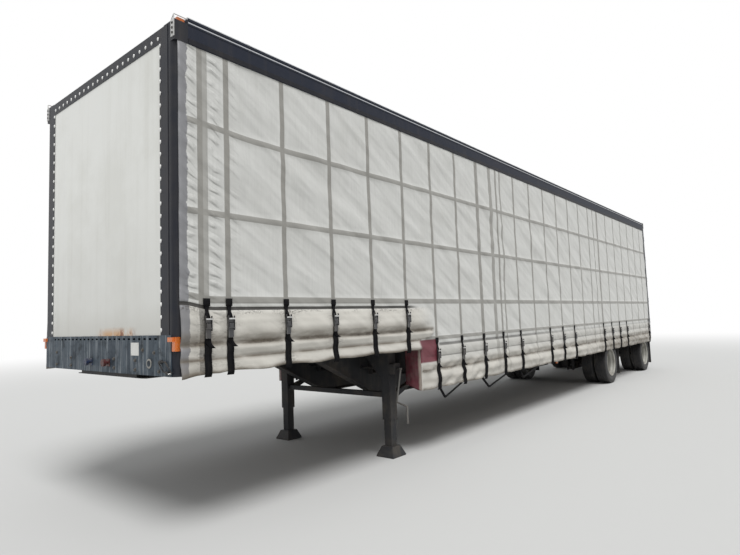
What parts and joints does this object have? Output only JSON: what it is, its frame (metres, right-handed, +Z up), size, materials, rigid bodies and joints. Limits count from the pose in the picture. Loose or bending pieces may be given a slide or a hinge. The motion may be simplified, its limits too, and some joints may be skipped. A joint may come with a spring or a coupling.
{
  "type": "semi trailer",
  "caption": "Step-deck curtain-side semi trailer on a spread tandem with twin wheels, landing gear, strapped side curtains and swing rear doors, for hauling covered freight.",
  "frame": {"origin": "on the floor, under the middle of the trailer's box", "axes": "+X to the trailer's left, -Y forward to the front wall, +Z up"},
  "size_m": [2.624, 14.75, 4.115],
  "materials": {
    "hardwood": "worn",
    "chassis_paint": "dusty black",
    "bulkhead_paint": "weathered blue-grey",
    "panel_white": "faint stains",
    "frame_dark": "satin",
    "rail_dark": "satin",
    "roof_skin": "dull",
    "galvanised": "dull",
    "curtain_fabric": "coated cloth",
    "flap_fabric": "coated cloth",
    "webbing_black": "woven",
    "buckle_steel": "worn",
    "kingpin_steel": "greased",
    "crank_steel": "worn grey",
    "tyre_rubber": "dusty",
    "disc_white": "dusty gloss",
    "hub_iron": "rusty",
    "rubber_black": "dull",
    "door_white": "satin",
    "lamp_amber": "clear gloss",
    "lamp_red": "clear gloss",
    "gladhand_paint": "gloss"
  },
  "bodies": {
    "frame": {"deck_floors": "hardwood", "crossmembers": "chassis_paint", "side_rails": "chassis_paint", "step_bulkhead": "chassis_paint", "main_beams": "chassis_paint", "neck_crossbeam": "chassis_paint", "coupler_plate": "chassis_paint", "kingpin": "kingpin_steel", "front_panel": "panel_white", "front_frame": "frame_dark", "front_bulkhead": "bulkhead_paint", "top_rails": "rail_dark", "roof": "roof_skin", "roof_bows": "galvanised", "side_posts": "galvanised", "corner_guards": "galvanised", "curtain_left": "curtain_fabric", "curtain_right": "curtain_fabric", "step_flaps": "flap_fabric", "strap_webbing": "webbing_black", "strap_buckles": "buckle_steel", "axles": "chassis_paint", "brake_chambers": "chassis_paint", "trailing_arms": "chassis_paint", "suspension_hangers": "chassis_paint", "air_springs": "rubber_black", "landing_legs": "chassis_paint", "landing_feet": "chassis_paint", "landing_braces": "chassis_paint", "landing_gearbox": "chassis_paint", "landing_crank": "crank_steel", "rear_frame": "frame_dark", "lock_keepers": "galvanised", "rear_guard": "chassis_paint", "mud_flaps": "rubber_black", "flap_hangers": "chassis_paint", "marker_lamps": "lamp_amber", "rear_lamps": "lamp_red", "gladhands": "gladhand_paint"},
    "door_left": {"door_left_panel": "door_white", "door_left_hinges": "galvanised", "door_left_locks": "galvanised"},
    "door_right": {"door_right_panel": "door_white", "door_right_hinges": "galvanised", "door_right_locks": "galvanised"},
    "wheel_left_front": {"wheel_left_front_tyres": "tyre_rubber", "wheel_left_front_discs": "disc_white", "wheel_left_front_hub": "hub_iron"},
    "wheel_right_front": {"wheel_right_front_tyres": "tyre_rubber", "wheel_right_front_discs": "disc_white", "wheel_right_front_hub": "hub_iron"},
    "wheel_left_rear": {"wheel_left_rear_tyres": "tyre_rubber", "wheel_left_rear_discs": "disc_white", "wheel_left_rear_hub": "hub_iron"},
    "wheel_right_rear": {"wheel_right_rear_tyres": "tyre_rubber", "wheel_right_rear_discs": "disc_white", "wheel_right_rear_hub": "hub_iron"}
  },
  "joints": [
    {"name": "door_left_swing", "type": "hinge", "parent": "frame", "child": "door_left", "pos_m": [1.2755, 7.345, 2.5], "axis": [0, 0, -1], "range_deg": [0, 260]},
    {"name": "door_right_swing", "type": "hinge", "parent": "frame", "child": "door_right", "pos_m": [-1.2755, 7.345, 2.5], "axis": [0, 0, 1], "range_deg": [0, 260]},
    {"name": "wheel_left_front_spin", "type": "hinge", "parent": "frame", "child": "wheel_left_front", "pos_m": [0.9845, 3.602, 0.4645], "axis": [1, 0, 0], "continuous": true},
    {"name": "wheel_right_front_spin", "type": "hinge", "parent": "frame", "child": "wheel_right_front", "pos_m": [-0.9845, 3.602, 0.4645], "axis": [1, 0, 0], "continuous": true},
    {"name": "wheel_left_rear_spin", "type": "hinge", "parent": "frame", "child": "wheel_left_rear", "pos_m": [0.9845, 6.675, 0.4645], "axis": [1, 0, 0], "continuous": true},
    {"name": "wheel_right_rear_spin", "type": "hinge", "parent": "frame", "child": "wheel_right_rear", "pos_m": [-0.9845, 6.675, 0.4645], "axis": [1, 0, 0], "continuous": true}
  ]
}
